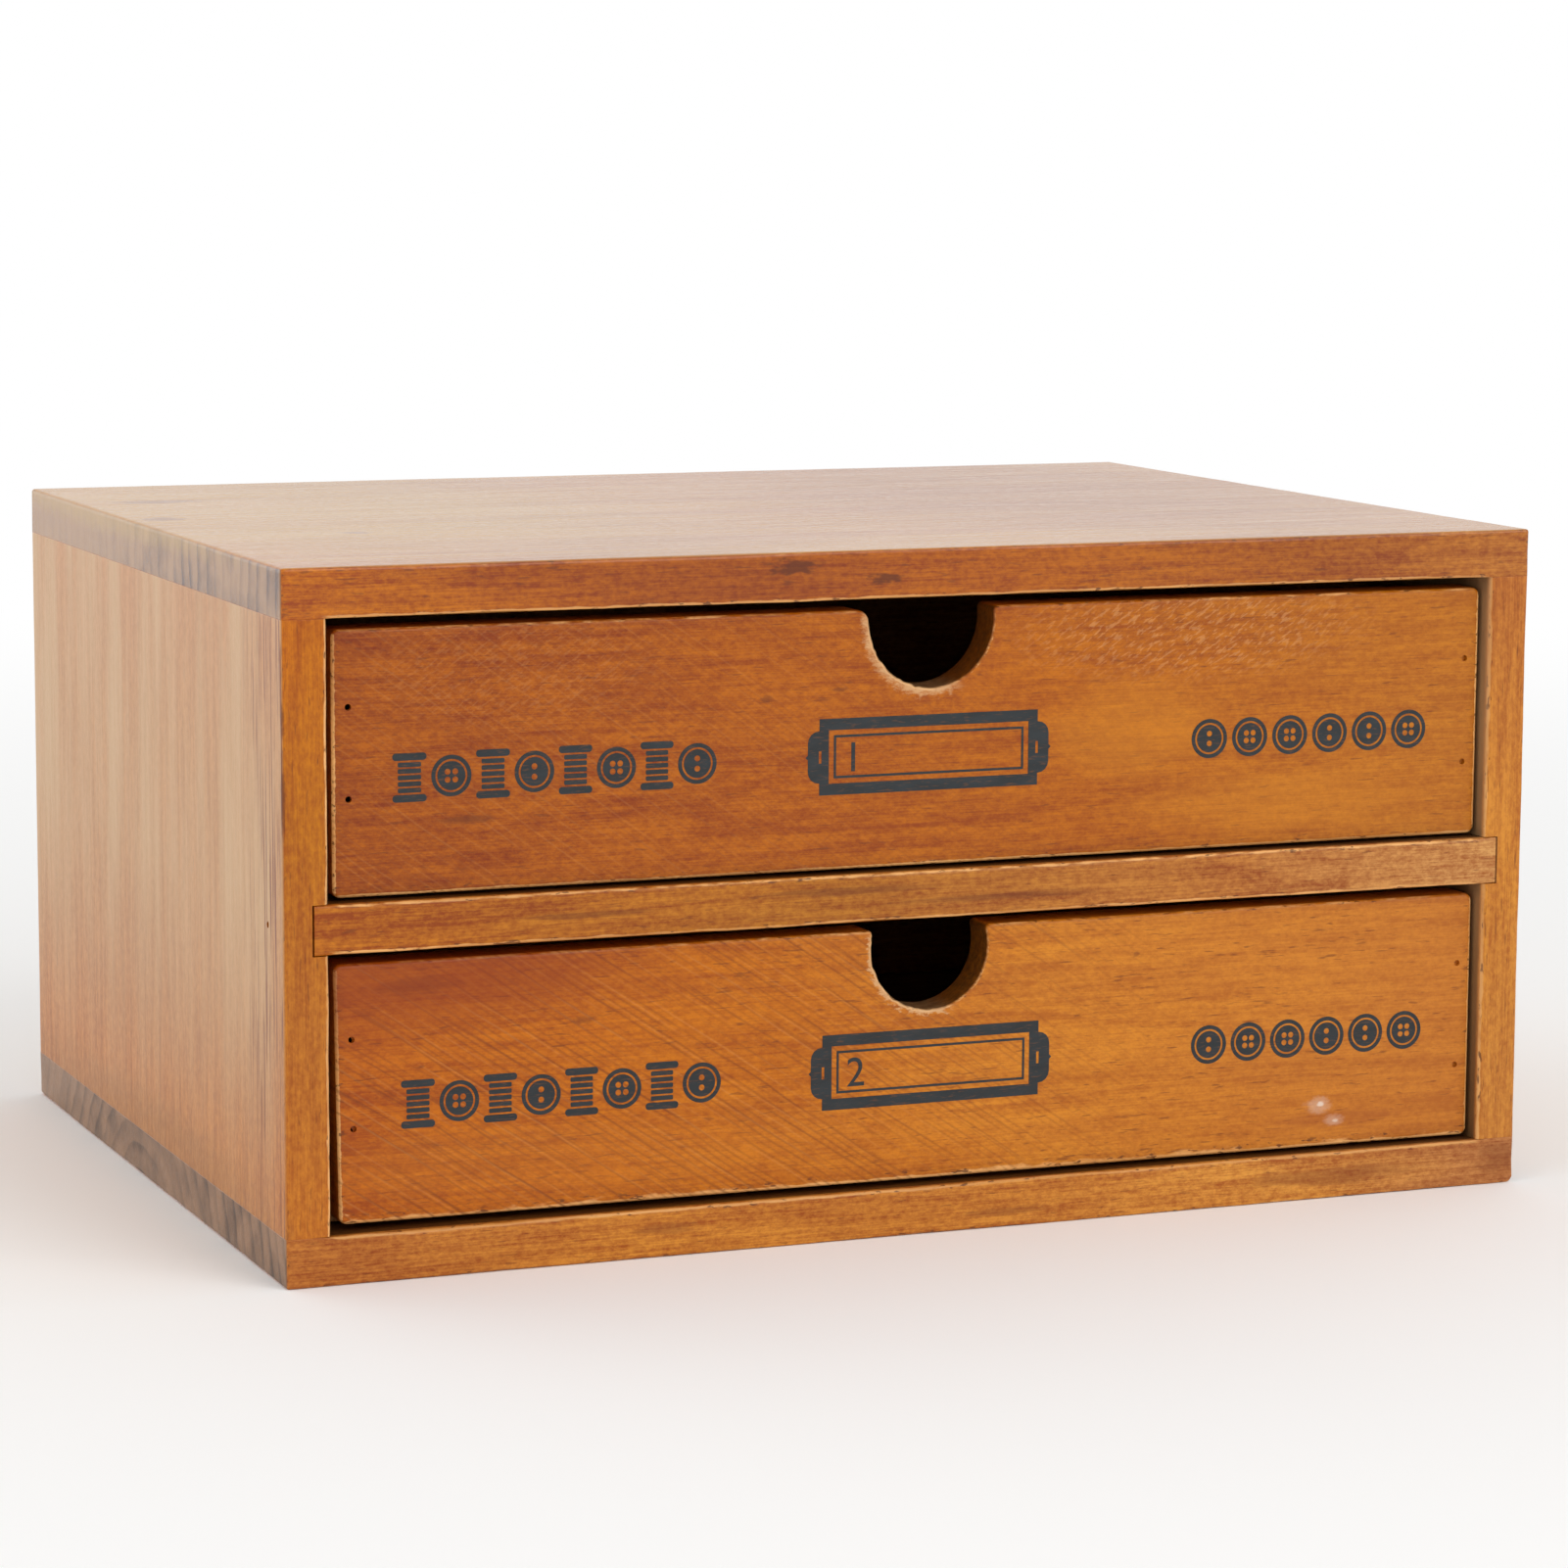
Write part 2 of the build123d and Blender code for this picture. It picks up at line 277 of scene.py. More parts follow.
def slice_rows(piece, axis, places, inside=None):
    """Cuts the piece across an axis at each place. inside(face) limits the cuts."""
    edit(piece, "FACE", "SELECT")
    normal = Vector([float(index == axis) for index in range(3)])
    for place in places:
        bpy.ops.mesh.select_all(action="SELECT")
        if inside:
            bpy.ops.mesh.select_all(action="DESELECT")
            shape = bmesh.from_edit_mesh(piece.data)
            for face in [face for face in shape.faces if inside(face)]:
                face.select_set(True)
            bmesh.update_edit_mesh(piece.data)
        bpy.ops.mesh.bisect(plane_co=normal * place, plane_no=normal, use_fill=False)
    bpy.ops.object.mode_set(mode="OBJECT")


def row_places(low, high, margin, spacing):
    """Places for slices: one near each end, and even rows between."""
    first, last = low + margin, high - margin
    count = max(1, round((last - first) / spacing))
    return [first + (last - first) * index / count for index in range(count + 1)]


smooth_below = math.radians(38)


def finish_board(piece, material, node, body="cabinet"):
    """Smooths the rounded edges, gives the piece its finish and body, and hides the frame node that it
    stands for.
    """
    edit(piece, "FACE", "SELECT")
    bpy.ops.mesh.remove_doubles(threshold=0.002 * mm)
    bpy.ops.mesh.normals_make_consistent(inside=False)
    bpy.ops.object.mode_set(mode="OBJECT")
    bpy.ops.object.shade_smooth_by_angle(angle=smooth_below)
    flat = piece.modifiers.new("flat", "WEIGHTED_NORMAL")
    flat.keep_sharp = True
    bpy.ops.object.modifier_apply(modifier=flat.name)
    piece.data.materials.clear()
    piece.data.materials.append(material)
    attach(piece, body)
    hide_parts(node)
    print(piece.name, len(piece.data.polygons), "faces")


# %% [markdown]
# ## Wearing the edges
# The stain has rubbed off wherever a hand or a drawer passes, and left a thin pale line of bare
# pine along the arris. That pale line is also a painted highlight on the rounded arris. Two things
# make it here: the points on an arris move inward by an uneven fraction of a millimetre, and a
# point attribute named wear_and_highlight says how near and how exposed each point is, so that the
# finish can pale exactly there. No hand reaches a glued seam, so it is spared.

# %% Wear helper
wear_reach = 1.3 * mm


def wear_board(piece, low, high, axes, depth, exposed, seed):
    """Wears the arrises between faces across axes, and marks them for the pale edge line, which is partly
    bare pine and partly painted highlight. exposed(point) is the share that it gets.
    """
    centre = (Vector(low) + Vector(high)) / 2
    worn = piece.data.attributes.new("wear_and_highlight", "FLOAT", "POINT")
    for vertex in piece.data.vertices:
        point = vertex.co.copy()
        gaps = {axis: min(abs(point[axis] - low[axis]), abs(high[axis] - point[axis])) for axis in axes}
        near = sorted(gaps.values())
        near = max(0, 1 - math.hypot(near[0], near[1]) / wear_reach)
        near *= exposed(point)
        worn.data[vertex.index].value = near
        if not near:
            continue
        short = noise.noise((point + Vector((seed, seed, seed))) / (9 * mm))
        broad = noise.noise((point + Vector((seed, 0, 0))) / (40 * mm))
        amount = near * depth * max(0, 0.5 + 0.6 * short + 0.6 * broad)
        for axis, gap in gaps.items():
            if gap < wear_reach:
                vertex.co[axis] += math.copysign(amount, centre[axis] - point[axis])


# %% [markdown]
# ## Stained pine
# Pine is soft, pale and resinous. Here it was stained honey brown and waxed to a thin satin. Real
# grain is a solid pattern: growth rings are nested tubes round the heart of the tree, and a board
# shows the slice that the saw took. So the finish is built from the distance to a heart line along
# the fibres. Stretched noise bends the rings, lays fibre over them and lets the stain soak in
# unevenly. Fibre, pores and mottle are 0.4 to 2 mm wide, coarser than real ones, so that they show.


# %% Coordinates that follow the fibres
def along_fibres(tree, grain):
    """Object coordinates in mm, turned so that the first one runs along the fibres."""
    place = add(tree, "TexCoord", out="Object")
    in_mm = add(tree, "VectorMath.SCALE", place, named={"Scale": 1 / mm})
    parts = add(tree, "SeparateXYZ", in_mm).node.outputs
    order = {"X": (0, 1, 2), "Y": (1, 2, 0), "Z": (2, 0, 1)}[grain]
    return add(tree, "CombineXYZ", *(parts[axis] for axis in order))


def streaks(tree, wood, width, length, detail, roughness, shift, seen=None, gives=(0, 1), turn=0):
    """Noise drawn out along the fibres. width and length give the size of one streak in mm.

    seen is the stretch of its values that is spread out over the two in gives."""
    drawn = add(tree, "Mapping", wood, (shift * 31, shift * 17, shift * 23), (0, turn, 0),
                (length, width, width), vector_type="TEXTURE")
    sizes = {"Vector": drawn, "Scale": 1, "Detail": detail, "Roughness": roughness}
    noisy = add(tree, "TexNoise", named=sizes, out="Fac")
    return add(tree, "MapRange", noisy, *seen, *gives) if seen else noisy


# %% Growth rings
def growth_rings(tree, wood, heart, ring, seed, sway=14):
    """Dark latewood lines, 0 to 1, that fade in and out and stray up to sway mm from true arcs."""
    parts = add(tree, "SeparateXYZ", wood).node.outputs
    flat = add(tree, "CombineXYZ", 0, parts[1], parts[2])
    away = add(tree, "VectorMath.DISTANCE", flat, (0, *heart), out="Value")
    bend = streaks(tree, wood, 20, 150, 2, 0.5, seed, (0, 1), (-sway, sway))
    bent = add(tree, "Math.ADD", away, bend)
    turns = add(tree, "Math.DIVIDE", bent, ring)
    phase = add(tree, "Math.FRACT", turns)
    line = add(tree, "ValToRGB", phase, stops={0: 0.1, 0.5: 0.2, 0.84: 0.9, 0.92: 0.9, 1: 0.1})
    strength = streaks(tree, wood, 30, 120, 1, 0.5, seed + 4)
    strength = add(tree, "ValToRGB", strength, stops={0.32: 0.15, 0.7: 1})
    return add(tree, "Math.MULTIPLY", line, strength)


# %% Grain tones
def grain_darkness(tree, wood, heart, ring, seed):
    """How dark the grain is, 0 to 1: broad bands, growth rings, fine fibre and a mottled stain."""
    bands = streaks(tree, wood, 2.6, 34, 3, 0.6, seed + 2, (0.32, 0.68))
    dark = add(tree, "Math.MULTIPLY", bands, 0.32)
    for layer, weight in (
            (growth_rings(tree, wood, heart, ring, seed), 0.24),
            (streaks(tree, wood, 0.4, 16, 2, 0.6, seed + 3, (0.34, 0.66)), 0.24),
            (streaks(tree, wood, 1.3, 2.2, 4, 0.75, seed + 7, (0.36, 0.64)), 0.38)):
        dark = add(tree, "Math.MULTIPLY_ADD", layer, weight, dark)
    return add(tree, "MapRange", dark, 0.22, 0.86)


def bare_and_highlit_edges(tree, wood, seed):
    """Where an edge shows bare pine and a painted highlight, 0 to 1: a thin ragged line that comes and
    goes.
    """
    edges = add(tree, "Attribute", out="Fac", attribute_name="wear_and_highlight")
    ragged = streaks(tree, wood, 1.6, 6, 3, 0.6, seed + 6, (0.3, 0.7), (0.62, 0.2))
    gone = add(tree, "Math.SUBTRACT", edges, ragged)
    gone = add(tree, "MapRange", gone, -0.04, 0.3, 0, 0.95, interpolation_type="SMOOTHSTEP")
    comes = streaks(tree, wood, 20, 45, 1, 0.5, seed + 8, (0.35, 0.65), (0.5, 1))
    return add(tree, "Math.MULTIPLY", gone, comes)


def chipped_edges(tree, wood, seed):
    """Dark chips in an edge, 0 to 1, where a splinter went and dirt came in."""
    edges = add(tree, "Attribute", out="Fac", attribute_name="wear_and_highlight")
    near = add(tree, "MapRange", edges, 0.05, 0.3)
    chips = streaks(tree, wood, 1.1, 3.2, 2, 0.6, seed + 9, (0.61, 0.67), (0, 0.8))
    return add(tree, "Math.MULTIPLY", near, chips)


# %% The pine finish
def lay_over(material, code, *masks):
    """Lays one more colour over a finish, as far as all its masks, 0 to 1, let it."""
    tree = material.node_tree
    colour = tree.nodes["Principled BSDF"].inputs["Base Color"]
    share = masks[0]
    for mask in masks[1:]:
        share = add(tree, "Math.MULTIPLY", share, mask)
    layers = {"Factor": share, "A": colour.links[0].from_socket, "B": srgb(code)}
    tree.links.new(add(tree, "Mix", named=layers, out=2, data_type="RGBA"), colour)


def stained_pine(name, grain, span, tones, heart, ring, seed, depth=(1, 1), gloss=0.36, ior=1.36,
                 bare_wood_and_highlight="#ffc47c"):
    """Stained pine under thin wax. span is the board's reach along the fibres in mm, and tones
    its colours from one end to the other. depth is how far the darkest grain goes at each end."""
    material, tree, shader = new_finish(name)
    wood = along_fibres(tree, grain)
    share = add(tree, "MapRange", add(tree, "SeparateXYZ", wood), *span)
    drift = streaks(tree, wood, 14, 50, 1, 0.5, seed + 1, (0, 1), (-0.12, 0.12))
    share = add(tree, "Math.ADD", share, drift)
    colour = add(tree, "ValToRGB", share, stops=tones)

    dark = grain_darkness(tree, wood, heart, ring, seed)
    deep = add(tree, "MapRange", share, 0, 1, *depth)
    deep = add(tree, "Math.MULTIPLY", dark, deep)
    shades = {"Factor": deep, "A": (1, 1, 1, 1), "B": srgb("#bb8f68")}
    shade = add(tree, "Mix", named=shades, out=2, data_type="RGBA")
    layers = {"Factor": 1, "A": colour, "B": shade}
    colour = add(tree, "Mix", named=layers, out=2, data_type="RGBA", blend_type="MULTIPLY")
    tree.links.new(colour, shader.inputs["Base Color"])
    pores = streaks(tree, wood, 0.7, 6, 2, 0.5, seed + 5, (0.64, 0.72), (0, 0.6))
    lay_over(material, "#6e3310", pores)
    # The pale edge line is partly bare pine where the stain rubbed off, and partly a painted highlight on
    # the rounded arris.
    lay_over(material, bare_wood_and_highlight, bare_and_highlit_edges(tree, wood, seed))
    lay_over(material, "#5c2d12", chipped_edges(tree, wood, seed))

    bumps = {"Height": dark, "Strength": 0.35, "Distance": 0.12 * mm}
    tree.links.new(add(tree, "Bump", named=bumps), shader.inputs["Normal"])
    rough = add(tree, "MapRange", dark, 0, 1, gloss - 0.04, gloss + 0.06)
    tree.links.new(rough, shader.inputs["Roughness"])
    shader.inputs["IOR"].default_value = ior
    return material


# %% [markdown]
# ## Marks laid over the pine
# What makes old pine look old is local: grey-brown end grain that drank the stain, knots, dirt
# and dents. Two marks are painted light: a pale sheen on the top and the sides, and shade inside
# the drawer bays. Each is one more colour with a mask of its own, laid over the finish in turn, so
# that a board's story can be read from its list of marks.


# %% Ends and faces
def facing(tree, axis, start, full, both_ways=False):
    """Where a face looks along an axis: 0 at a cosine of start and 1 at full."""
    looks = add(tree, "SeparateXYZ", add(tree, "TexCoord", out="Normal"), out="XYZ".index(axis))
    if both_ways:
        looks = add(tree, "Math.ABSOLUTE", looks)
    return add(tree, "MapRange", looks, start, full)


def end_grain(material, grain, heart, ring, pale, dark, fade):
    """Colours a board's ends, where cut fibres drink the stain and rings show as arcs.

    fade is where across the board, in mm, the dark rings are faintest and where strongest."""
    tree = material.node_tree
    wood = along_fibres(tree, grain)
    rings = growth_rings(tree, wood, heart, ring, 3, 4)
    clouds = streaks(tree, wood, 12, 400, 2, 0.5, 8, (0.4, 0.65), (0, 0.5))
    bands = add(tree, "Math.MULTIPLY_ADD", rings, 0.9, clouds, use_clamp=True)
    across = add(tree, "MapRange", add(tree, "SeparateXYZ", wood, out=1), *fade, 0.2, 1)
    ends = facing(tree, grain, 0.70, 0.92, True)
    lay_over(material, pale, ends)
    lay_over(material, dark, bands, across, ends)


def painted_sheen_face(material, axis, grain, code, amount, low_amount=1):
    """Pales the faces that look along one axis with a painted sheen: the white room seen at a low angle.

    low_amount is the share of the painted sheen that is left at the foot of the chest."""
    tree = material.node_tree
    wood = along_fibres(tree, grain)
    uneven = streaks(tree, wood, 14, 160, 4, 0.6, 21, (0.38, 0.62), (amount * 0.55, amount))
    height = add(tree, "SeparateXYZ", along_fibres(tree, "X"), out=2)
    height = add(tree, "MapRange", height, 10, 90, low_amount, 1)
    lay_over(material, code, facing(tree, axis, 0.6, 0.95, True), uneven, height)


def painted_bay_shade(material, axis, sign):
    """Darkens the faces inside a drawer bay with painted shade, where little light reaches."""
    tree = material.node_tree
    back = add(tree, "SeparateXYZ", along_fibres(tree, "X"), out=1)
    back = add(tree, "MapRange", back, -121.8, -120.6, 0, 0.85)
    lay_over(material, "#24120a", facing(tree, axis, sign * 0.8, sign * 0.97), back)


# %% Spots and cracks
def stain_spot(material, place, size, code, amount, ragged):
    """A soft spot: place and size are its middle and half-lengths in mm."""
    tree = material.node_tree
    wood = along_fibres(tree, "X")
    local = add(tree, "Mapping", wood, place, (0, 0, 0), size, vector_type="TEXTURE")
    away = add(tree, "VectorMath.LENGTH", local, out="Value")
    width, length = max(0.8, size[2] * 0.5), max(2, size[0] * 0.5)
    rag = streaks(tree, wood, width, length, 3, 0.6, place[0], (0, 1), (-ragged, ragged))
    away = add(tree, "Math.ADD", away, rag)
    spot = add(tree, "MapRange", away, 1, 0.35, 0, amount, interpolation_type="SMOOTHSTEP")
    lay_over(material, code, spot)


def front_spots(material, front, code, ragged, *spots):
    """Spots on a face at y = front: x, z, half the width and height in mm, and an amount."""
    for x, z, width, height, amount in spots:
        stain_spot(material, (x, front, z), (width, 9, height), code, amount, ragged)


def drying_cracks(material, gone, full, code):
    """Dark cracks down the left face of an upright board, between the places gone and full."""
    tree = material.node_tree
    wood = along_fibres(tree, "Z")
    lines = streaks(tree, wood, 1.1, 46, 2, 0.6, 35, (0.55, 0.6), (0, 0.8))
    band = add(tree, "MapRange", add(tree, "SeparateXYZ", wood, out=2), gone, full)
    lay_over(material, code, lines, band, facing(tree, "X", -0.8, -0.95))


# %% [markdown]
# ## The cabinet boards
# Top and bottom run the full width, over and under the two side boards, so their end grain shows
# at the left. All four are rabbeted for the back panel, and each side has a slot for the shelf and
# the hole of its front nail. The other nail holes there are filled over. The edges round the drawers
# and the outer edges are worn, with a pale line that is partly painted highlight, and the glued
# seams stay tight. The faces inside the drawer bays get painted shade.

# %% Sizes read from the frame
def corners(node):
    """The low and high corner of a node of the frame."""
    low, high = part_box(node)
    return Vector(low), Vector(high)


top_low, top_high = corners("top_board")
bottom_low, bottom_high = corners("bottom_board")
left_low, left_high = corners("left_side_board")
right_low, right_high = corners("right_side_board")
shelf_low, shelf_high = corners("middle_shelf")
panel_low, panel_high = corners("back_panel")
bay_left, bay_right = left_high.x, right_low.x
panel_slack = 0.3 * mm
arris = 0.75 * mm
seam_arris = 0.22 * mm
print("bay", round((bay_right - bay_left) / mm, 1), "mm wide")


# %% Picking edges and slicing a board
touching = 0.01 * mm


def runs_along(edge):
    """The axis that an edge runs along."""
    step = edge.verts[1].co - edge.verts[0].co
    return max(range(3), key=lambda axis: abs(step[axis]))


def lies_at(edge, axis, place):
    """Whether an edge lies at a place along an axis."""
    return all(abs(vertex.co[axis] - place) < touching for vertex in edge.verts)


def box_edges(low, high, *axes):
    """A test for the edges of a board's box that run along one of the axes."""
    sides = [(axis, side) for axis in range(3) for side in (low[axis], high[axis])]

    def wanted(edge):
        return runs_along(edge) in axes and sum(lies_at(edge, *side) for side in sides) >= 2
    return wanted


def slice_board(piece, low, high):
    """Rows of points across all three directions of a board."""
    for axis in range(3):
        slice_rows(piece, axis, row_places(low[axis], high[axis], wear_reach, 6 * mm))


def rabbet_cutter():
    """A cutter the size of the back panel and the room behind it."""
    slack = Vector((panel_slack, 0, panel_slack))
    back = Vector((panel_high.x, chest_high.y + 2 * mm, panel_high.z))
    return start_block("rabbet_cutter", panel_low - slack, back + slack)


# %% Top and bottom boards
knocked_corner = 2.2 * mm


def full_width_board(name, low, high, seam_z):
    """A board glued to the sides at seam_z. The right end of the bottom one has had a knock."""
    piece = start_block(name, low, high)

    def knocked(edge):
        return all(vertex.co.x > high.x - mm and vertex.co.z < low.z + mm for vertex in edge.verts)

    on_box = box_edges(low, high, 0, 1, 2)
    if seam_z == high.z:
        bevel_edges(piece, knocked, knocked_corner, 5)
    bevel_edges(piece, lambda edge: on_box(edge) and not lies_at(edge, 2, seam_z), arris, 3)
    bevel_edges(piece, lambda edge: on_box(edge) and lies_at(edge, 2, seam_z), seam_arris, 2)
    slice_board(piece, low, high)
    cut(piece, rabbet_cutter())
    return piece


def free_of(seam_z):
    """The pale edge line, worn and partly painted highlight: full beside the drawers, less on the outer
    edges, none at the glued seams.
    """
    def exposed(point):
        if abs(point.z - seam_z) > 2 * mm:
            return 0.45
        return 1 if bay_left < point.x < bay_right else 0
    return exposed


chest_span = (chest_low.x / mm, chest_high.x / mm)
# The colour of the pale edge line on the cabinet boards: bare pine and painted highlight.
rubbed_edge_and_highlight = "#e0a45f"
board_front = -122
top_heart = (-620, 174)
top_tones = {0: "#cf7701", 0.3: "#a85502", 0.55: "#b96402", 0.8: "#b3650a", 1: "#bf7628"}
pine_top = stained_pine(
    "stained pine, top board", "X", chest_span, top_tones, top_heart, 4.6, 1,
    gloss=0.21, ior=1.42, bare_wood_and_highlight=rubbed_edge_and_highlight)
# Painted sheen on the top: the white room reflected at a low angle.
painted_sheen_face(pine_top, "Z", "X", "#cc9a56", 0.75)
end_grain(pine_top, "X", top_heart, 7.5, "#a97e55", "#5a3014", (45, 0))
# The darker spot at the right of the top is painted shade, where the top shows less of the room's
# reflection.
stain_spot(pine_top, (95, 30, 170), (120, 160, 7), "#96500e", 0.45, 0.3)
stain_spot(pine_top, (-130, 40, 170), (120, 180, 7), "#c8a24a", 0.35, 0.3)
front_spots(pine_top, board_front, "#5a260a", 1.1, (-38, 166.6, 8, 2.6, 0.8), (-13, 163, 6, 1.9, 0.8))
for x, y, length, width in ((-143, 68, 16, 7), (-156, 15, 7, 7), (-121, -38, 5, 4)):
    stain_spot(pine_top, (x, y, 170), (length, width, 5), "#8a5026", 0.7, 0.7)
top_piece = full_width_board("top_board_pine", top_low, top_high, top_low.z)
wear_board(top_piece, top_low, top_high, (0, 1, 2), 0.45 * mm, free_of(top_low.z), 0.1)
finish_board(top_piece, pine_top, "top_board")

bottom_heart = (10, -34)
bottom_tones = {0: "#c67b2f", 0.3: "#d58b2d", 0.5: "#d0862d", 0.8: "#df9a3e", 1: "#bd7c45"}
pine_bottom = stained_pine(
    "stained pine, bottom board", "X", chest_span, bottom_tones, bottom_heart,
    4.4, 2, bare_wood_and_highlight=rubbed_edge_and_highlight)
# Painted shade on the top face inside the drawer bays.
painted_bay_shade(pine_bottom, "Z", 1)
end_grain(pine_bottom, "X", bottom_heart, 7, "#9b7557", "#4a3220", (130, 60))
front_spots(
    pine_bottom, board_front, "#824419", 0.6,
    (112, 6, 30, 3.2, 0.45), (-70, 7, 12, 1.8, 0.45), (20, 4, 14, 1.5, 0.45), (161, 7, 9, 5, 0.45))
bottom_piece = full_width_board("bottom_board_pine", bottom_low, bottom_high, bottom_high.z)
wear_board(bottom_piece, bottom_low, bottom_high, (0, 1, 2), 0.6 * mm, free_of(bottom_high.z), 0.7)
finish_board(bottom_piece, pine_bottom, "bottom_board")

# %% Side boards
slot_slack = 0.1 * mm
slot_depth = bay_left - shelf_low.x + 0.5 * mm
nail_radius = 0.8 * mm
nails_low, nails_high = corners("shelf_nails")


def side_board(name, low, high, side):
    """One side board. side is -1 at the left and 1 at the right."""
    piece = start_block(name, low, high)
    bevel_edges(piece, box_edges(low, high, 2), arris, 3)
    bevel_edges(piece, box_edges(low, high, 0, 1), seam_arris, 2)
    slice_board(piece, low, high)
    inner, outer = (high.x, low.x) if side < 0 else (low.x, high.x)
    slot_x = sorted((inner + side * slot_depth, inner - side * 2 * mm))
    slot_low = Vector((slot_x[0], low.y - 2 * mm, shelf_low.z - slot_slack))
    slot_high = Vector((slot_x[1], panel_low.y + mm, shelf_high.z + slot_slack))
    cut(piece, start_block("slot_cutter", slot_low, slot_high))
    cut(piece, rabbet_cutter())
    start = (outer + side * mm, nails_low.y + nail_radius, (shelf_low.z + shelf_high.z) / 2)
    cut(piece, start_rod("hole_cutter", start, (-side, 0, 0), nail_radius, 2 * mm, 12))
    return piece


def inner_edges(point):
    """The pale edge line, worn and partly painted highlight: full on the edges beside the drawers, and
    much less on the outer ones.
    """
    return 1 if abs(point.x) < (chest_high.x + bay_right) / 2 else 0.3


side_span = (left_low.z / mm, left_high.z / mm)
left_tones = {0: "#d07f20", 0.3: "#c57921", 0.7: "#c57705", 1: "#c66f00"}
pine_left = stained_pine(
    "stained pine, left side", "Z", side_span, left_tones, (-150, 46), 7, 3,
    (0.8, 0.8), bare_wood_and_highlight="#ffc884")
# Painted shade on the face inside the bay, and a painted sheen on the outer face that fades towards the
# foot.
painted_bay_shade(pine_left, "X", 1)
painted_sheen_face(pine_left, "X", "Z", "#cca87c", 0.85, 0.2)
drying_cracks(pine_left, -86, -104, "#78330c")
# A darker band along the foot of the left side: painted shade.
stain_spot(pine_left, (-165, 0, 12), (5, 170, 16), "#86653a", 0.3, 0.3)
stain_spot(pine_left, (-165, board_front, 118), (1.1, 1.1, 13), "#6b3414", 0.8, 0.8)
stain_spot(pine_left, (-165, board_front, 135), (0.9, 0.9, 5), "#6b3414", 0.7, 0.8)
left_piece = side_board("left_side_pine", left_low, left_high, -1)
wear_board(left_piece, left_low, left_high, (0, 1), 0.5 * mm, inner_edges, 1.9)
finish_board(left_piece, pine_left, "left_side_board")

right_tones = {0: "#cc8532", 0.5: "#d68c2d", 1: "#c0732a"}
pine_right = stained_pine(
    "stained pine, right side", "Z", side_span, right_tones, (120, -40), 4.2, 4,
    (0.8, 0.8), bare_wood_and_highlight=rubbed_edge_and_highlight)
# Painted shade on the face inside the bay, and a painted sheen on the outer face.
painted_bay_shade(pine_right, "X", -1)
painted_sheen_face(pine_right, "X", "Z", "#caa274", 0.7, 0.4)
right_piece = side_board("right_side_pine", right_low, right_high, 1)
wear_board(right_piece, right_low, right_high, (0, 1), 0.5 * mm, inner_edges, 2.6)
finish_board(right_piece, pine_right, "right_side_board")


# %% Middle shelf
def inside_bay(point):
    """The shelf's pale edge line, worn and partly painted highlight, lies between the side boards,
    stronger on its lower edge than on its upper.
    """
    if not bay_left < point.x < bay_right:
        return 0
    return 1 if point.z < (shelf_low.z + shelf_high.z) / 2 else 0.8


shelf_piece = start_block("middle_shelf_pine", shelf_low, shelf_high)
bevel_edges(shelf_piece, box_edges(shelf_low, shelf_high, 0), 0.6 * mm, 3)
slice_board(shelf_piece, shelf_low, shelf_high)
wear_board(shelf_piece, shelf_low, shelf_high, (1, 2), 0.5 * mm, inside_bay, 3.3)
shelf_tones = {0: "#c67411", 0.4: "#bb761e", 0.75: "#c57e34", 1: "#d9a05c"}
pine_shelf = stained_pine(
    "stained pine, middle shelf", "X", chest_span, shelf_tones, (90, 115), 3, 5,
    bare_wood_and_highlight="#f4b870")
# Painted shade on the top face inside the drawer bays.
painted_bay_shade(pine_shelf, "Z", 1)
front_spots(
    pine_shelf, board_front, "#6e3410", 0.6,
    (-24, 87, 28, 1.5, 0.55), (18, 83.5, 34, 1.2, 0.55), (-90, 85, 20, 1.2, 0.55))
finish_board(shelf_piece, pine_shelf, "middle_shelf")

# %% [markdown]
# ## The drawer fronts
# Each front is one board with four softened corners. Its finger notch is drilled with a hole saw
# near the top edge, so it is a little more than half a circle, and its lip is ragged. Four nails go
# through it into the drawer sides, punched below the surface, and show as small dark dots. Corners
# and slices come first, while every face is still a plain rectangle, then the drill and the
# groove, and last the sandpaper on the face edges. The slices stop short of the notch, so that its
# rim can be rounded in one sweep. Neither front is quite square: the lower left corner of the
# lower one is 1.1 mm short, and both reach 1 mm further at the right, where the gap is narrow.

# %% Drawer front sizes
front_corner = 2 * mm
front_arris = 0.95 * mm
notch_radius = {"upper": 16.5 * mm, "lower": 15.5 * mm}
notch_place = {"upper": 0.4 * mm, "lower": 0.6 * mm}
notch_drop = {"upper": 3 * mm, "lower": 5 * mm}
notch_lip = {"upper": (3.4 * mm, 1.4 * mm), "lower": (1.3 * mm, 1.3 * mm)}
notch_room = 4 * mm
nail_height = {-1: (23.3 * mm, 45 * mm), 1: (18.7 * mm, 45.3 * mm)}
nail_in = 4 * mm
nail_sink = 1 * mm
lean = {"upper": 0, "lower": 1.1 * mm}
torn_reach = {"upper": 2.6, "lower": 1.5}
right_growth = 1 * mm
# How far the pale edge line reaches onto the face at the sides and at the foot: painted highlight.
side_highlight = 0.3
low_highlight = {"upper": 0.32, "lower": 0.5}


